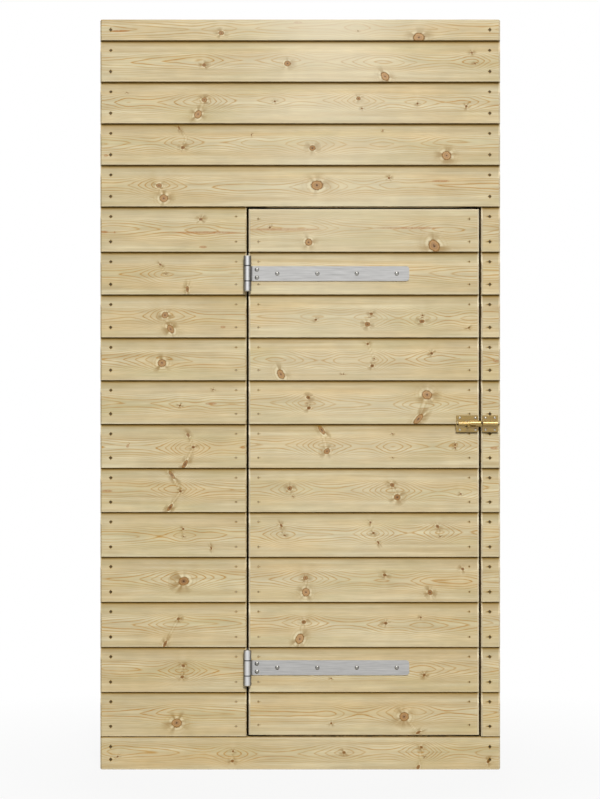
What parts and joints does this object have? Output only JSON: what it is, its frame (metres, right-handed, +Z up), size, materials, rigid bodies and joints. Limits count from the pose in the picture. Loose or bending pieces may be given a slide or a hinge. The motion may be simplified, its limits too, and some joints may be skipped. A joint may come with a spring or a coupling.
{
  "type": "aviary door panel",
  "caption": "Timber-framed panel of lapped boards with a strap-hinged door and a sliding barrel bolt, one front section of an aviary.",
  "frame": {"origin": "on the floor, in the middle of the bottom rail's underside", "axes": "+X to the right seen from outside, +Y to the back, +Z up; the door opens towards -Y"},
  "size_m": [1, 0.0883, 1.875],
  "materials": {
    "cladding": "planed pressure-treated pine",
    "framing": "planed pine",
    "zinc": "bright zinc",
    "brass": "polished",
    "steel": "galvanised"
  },
  "bodies": {
    "frame": {"left_stile": "framing", "right_stile": "framing", "hinge_stud": "framing", "top_rail": "framing", "header_rail": "framing", "bottom_rail": "framing", "door_stop": "framing", "top_board": "cladding", "bottom_plank": "cladding", "lock_boards": "cladding", "upper_board_1": "cladding", "upper_board_2": "cladding", "upper_board_3": "cladding", "upper_board_4": "cladding", "left_board_1": "cladding", "left_board_2": "cladding", "left_board_3": "cladding", "left_board_4": "cladding", "left_board_5": "cladding", "left_board_6": "cladding", "left_board_7": "cladding", "left_board_8": "cladding", "left_board_9": "cladding", "left_board_10": "cladding", "left_board_11": "cladding", "left_board_12": "cladding", "frame_nails": "steel", "frame_screws": "steel", "upper_leaf": "zinc", "lower_leaf": "zinc", "upper_pin": "zinc", "lower_pin": "zinc", "leaf_screws": "zinc", "keeper": "brass", "keeper_screws": "steel"},
    "door": {"door_hinge_stile": "framing", "door_lock_stile": "framing", "door_top_rail": "framing", "door_mid_rail": "framing", "door_bottom_rail": "framing", "door_board_1": "cladding", "door_board_2": "cladding", "door_board_3": "cladding", "door_board_4": "cladding", "door_board_5": "cladding", "door_board_6": "cladding", "door_board_7": "cladding", "door_board_8": "cladding", "door_board_9": "cladding", "door_board_10": "cladding", "door_board_11": "cladding", "door_board_12": "cladding", "door_nails": "steel", "upper_strap": "zinc", "lower_strap": "zinc", "strap_screws": "zinc", "bolt_plate": "brass", "bolt_screws": "steel"},
    "bolt": {"bolt_rod": "brass", "bolt_knob": "brass"}
  },
  "joints": [
    {"name": "door_swing", "type": "hinge", "parent": "frame", "child": "door", "pos_m": [-0.13175, -0.053, 0.744], "axis": [0, 0, -1], "range_deg": [0, 170]},
    {"name": "bolt_slide", "type": "slide", "parent": "door", "child": "bolt", "axis": [1, 0, 0], "range_m": [0, 0.013]}
  ]
}
